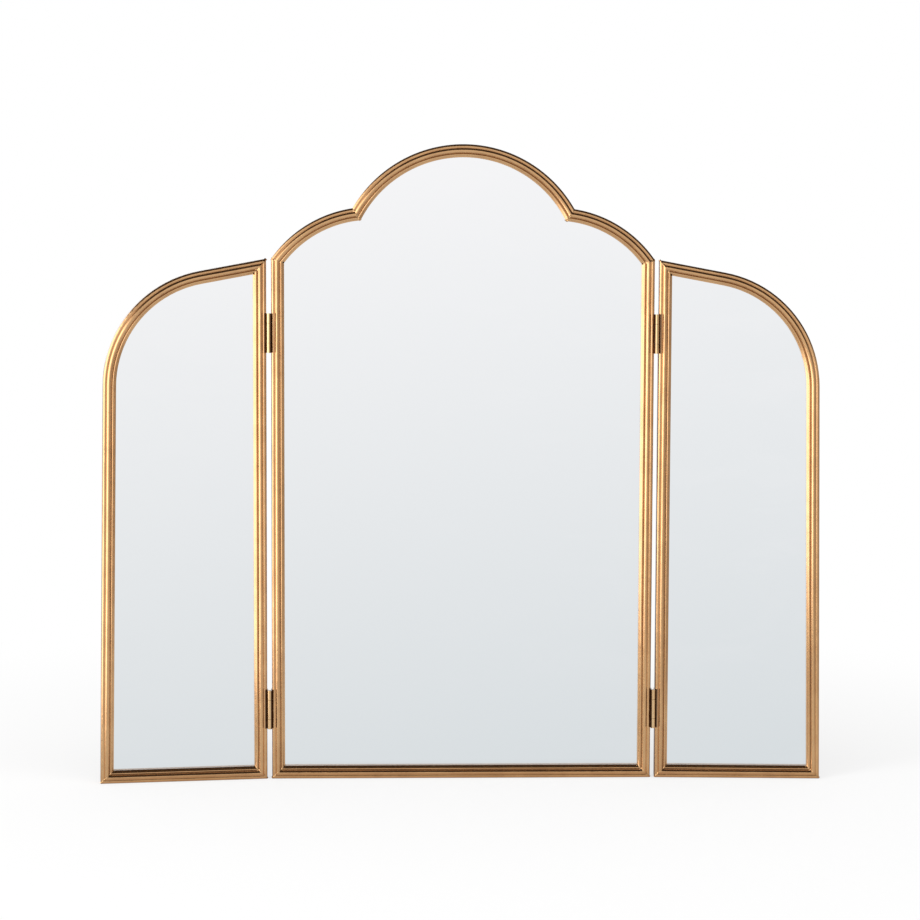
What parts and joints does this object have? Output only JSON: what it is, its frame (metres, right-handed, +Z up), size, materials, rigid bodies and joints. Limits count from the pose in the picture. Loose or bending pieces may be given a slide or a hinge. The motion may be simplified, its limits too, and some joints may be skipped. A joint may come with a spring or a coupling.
{
  "type": "folding dressing table mirror",
  "caption": "Folding table mirror with an arched centre panel and two hinged side wings in slim beaded metal frames.",
  "frame": {"origin": "middle of the flat underside of the centre panel, half way through the depth of its frame", "axes": "+X to the viewer's right along the opened mirror, +Y away from the viewer, +Z up"},
  "size_m": [0.7053, 0.039, 0.6185],
  "materials": {
    "gold_paint": "gold paint, satin",
    "hinge_paint": "gold paint, satin",
    "hinge_pin_steel": "satin",
    "mirror_glass": "silvered glass, polished",
    "foam": "closed cell foam, matte",
    "hardboard": "hardboard, smooth side out",
    "tab_steel": "zinc plated, dull"
  },
  "bodies": {
    "centre_panel": {"centre_bottom_rail": "gold_paint", "centre_left_stile": "gold_paint", "centre_right_stile": "gold_paint", "centre_left_shoulder": "gold_paint", "centre_right_shoulder": "gold_paint", "centre_crown": "gold_paint", "centre_mirror": "mirror_glass", "centre_foam_strips": "foam", "centre_backing_board": "hardboard", "centre_board_tabs": "tab_steel", "left_lower_hinge_centre_leaf": "hinge_paint", "left_lower_hinge_pin": "hinge_pin_steel", "left_upper_hinge_centre_leaf": "hinge_paint", "left_upper_hinge_pin": "hinge_pin_steel", "right_lower_hinge_centre_leaf": "hinge_paint", "right_lower_hinge_pin": "hinge_pin_steel", "right_upper_hinge_centre_leaf": "hinge_paint", "right_upper_hinge_pin": "hinge_pin_steel"},
    "left_wing": {"left_wing_bottom_rail": "gold_paint", "left_wing_hinge_stile": "gold_paint", "left_wing_outer_stile": "gold_paint", "left_wing_mirror": "mirror_glass", "left_wing_foam_strips": "foam", "left_wing_backing_board": "hardboard", "left_wing_board_tabs": "tab_steel", "left_lower_hinge_wing_leaf": "hinge_paint", "left_upper_hinge_wing_leaf": "hinge_paint"},
    "right_wing": {"right_wing_bottom_rail": "gold_paint", "right_wing_hinge_stile": "gold_paint", "right_wing_outer_stile": "gold_paint", "right_wing_mirror": "mirror_glass", "right_wing_foam_strips": "foam", "right_wing_backing_board": "hardboard", "right_wing_board_tabs": "tab_steel", "right_lower_hinge_wing_leaf": "hinge_paint", "right_upper_hinge_wing_leaf": "hinge_paint"}
  },
  "joints": [
    {"name": "left_wing_hinge", "type": "hinge", "parent": "centre_panel", "child": "left_wing", "pos_m": [-0.1876, -0.0102, 0.25], "axis": [0, 0, 1], "range_deg": [-13.6, 172.4]},
    {"name": "right_wing_hinge", "type": "hinge", "parent": "centre_panel", "child": "right_wing", "pos_m": [0.1876, -0.0102, 0.25], "axis": [0, 0, -1], "range_deg": [-9.2, 176.8]}
  ]
}
